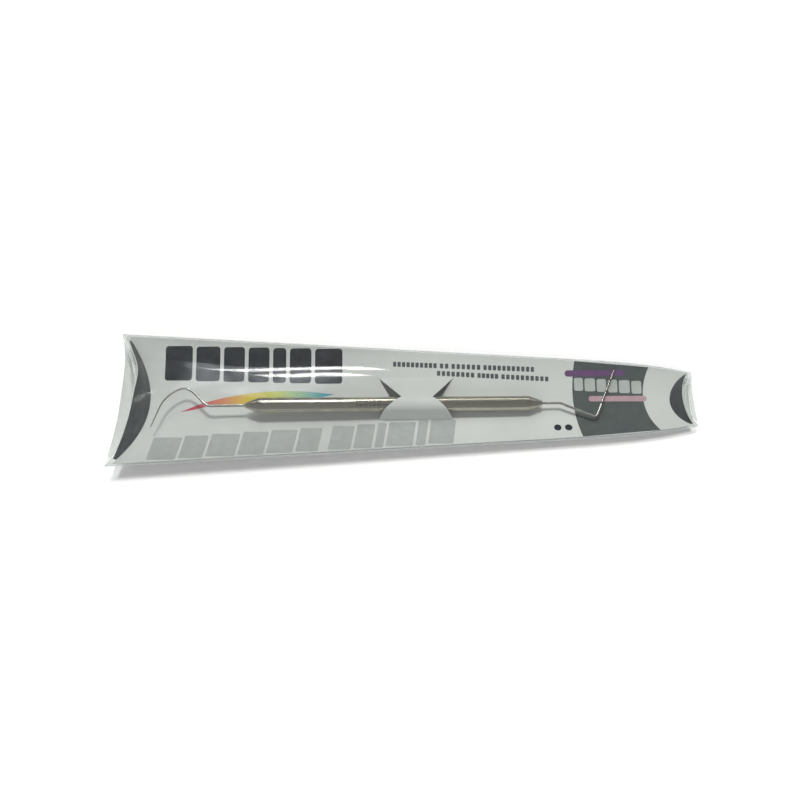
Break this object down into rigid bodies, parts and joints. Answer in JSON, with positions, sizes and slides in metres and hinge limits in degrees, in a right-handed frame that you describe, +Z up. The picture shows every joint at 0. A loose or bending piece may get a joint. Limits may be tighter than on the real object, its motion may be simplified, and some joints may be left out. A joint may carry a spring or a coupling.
{
  "type": "periodontal probe in a clear pillow pack",
  "caption": "Double-ended steel periodontal probe and hooked explorer, strapped to a printed card inside a clear tapered pillow pack with folding film end flaps.",
  "frame": {"origin": "centre of the pack's footprint on the table, at the bottom of its bounding box", "axes": "+X along the pack towards its narrow end, where the graduated tip is; +Z up, away from the table; +Y across, towards the side the graduated tip points to"},
  "size_m": [0.2154, 0.054, 0.0139],
  "materials": {
    "clear_film": "clear 0.3 mm film, glossy",
    "printed_card": "coated paperboard, light grey print",
    "dark_card": "coated paperboard, dark grey print",
    "satin_steel": "fine satin",
    "bright_steel": "polished"
  },
  "bodies": {
    "sleeve": {"sleeve": "clear_film"},
    "wide_outer_flap": {"wide_outer_flap": "clear_film"},
    "wide_inner_flap": {"wide_inner_flap": "clear_film"},
    "narrow_outer_flap": {"narrow_outer_flap": "clear_film"},
    "narrow_inner_flap": {"narrow_inner_flap": "clear_film"},
    "card": {"card_panel": "printed_card"},
    "card_wide_flap": {"card_wide_flap": "dark_card"},
    "card_narrow_flap": {"card_narrow_flap": "dark_card"},
    "probe": {"handle_tube": "satin_steel", "explorer_cone": "satin_steel", "probe_cone": "satin_steel", "explorer_shank": "bright_steel", "probe_shank": "bright_steel"}
  },
  "joints": [
    {"name": "card_slide", "type": "slide", "parent": "sleeve", "child": "card", "axis": [-1, 0, 0], "range_m": [0, 0.235], "deforming": ["wide_outer_flap", "wide_inner_flap"]},
    {"name": "probe_slide", "type": "slide", "parent": "card", "child": "probe", "axis": [0.9996, 0.0122, -0.0244], "range_m": [-0.004, 0]},
    {"name": "wide_outer_fold", "type": "hinge", "parent": "sleeve", "child": "wide_outer_flap", "pos_m": [-0.1031, 0, 0.01372], "axis": [0, 1, 0], "range_deg": [0, 100]},
    {"name": "wide_inner_fold", "type": "hinge", "parent": "sleeve", "child": "wide_inner_flap", "pos_m": [-0.1031, 0, 0.00015], "axis": [0, -1, 0], "range_deg": [0, 50]},
    {"name": "narrow_outer_fold", "type": "hinge", "parent": "sleeve", "child": "narrow_outer_flap", "pos_m": [0.1066, 0, 0.0057], "axis": [0, -1, 0], "range_deg": [0, 100]},
    {"name": "narrow_inner_fold", "type": "hinge", "parent": "sleeve", "child": "narrow_inner_flap", "pos_m": [0.1066, 0, 0.00015], "axis": [0, 1, 0], "range_deg": [0, 50]},
    {"name": "card_wide_crease", "type": "hinge", "parent": "card", "child": "card_wide_flap", "pos_m": [-0.09595, 0, 0.0018], "axis": [0, 1, 0], "range_deg": [-4, 10]},
    {"name": "card_narrow_crease", "type": "hinge", "parent": "card", "child": "card_narrow_flap", "pos_m": [0.09945, 0, 0.00092], "axis": [0, -1, 0], "range_deg": [-6, 8]}
  ],
  "couplings": [
    {"joint": "wide_inner_fold", "follows": "wide_outer_fold", "ratio": 0.5},
    {"joint": "narrow_inner_fold", "follows": "narrow_outer_fold", "ratio": 0.5}
  ]
}
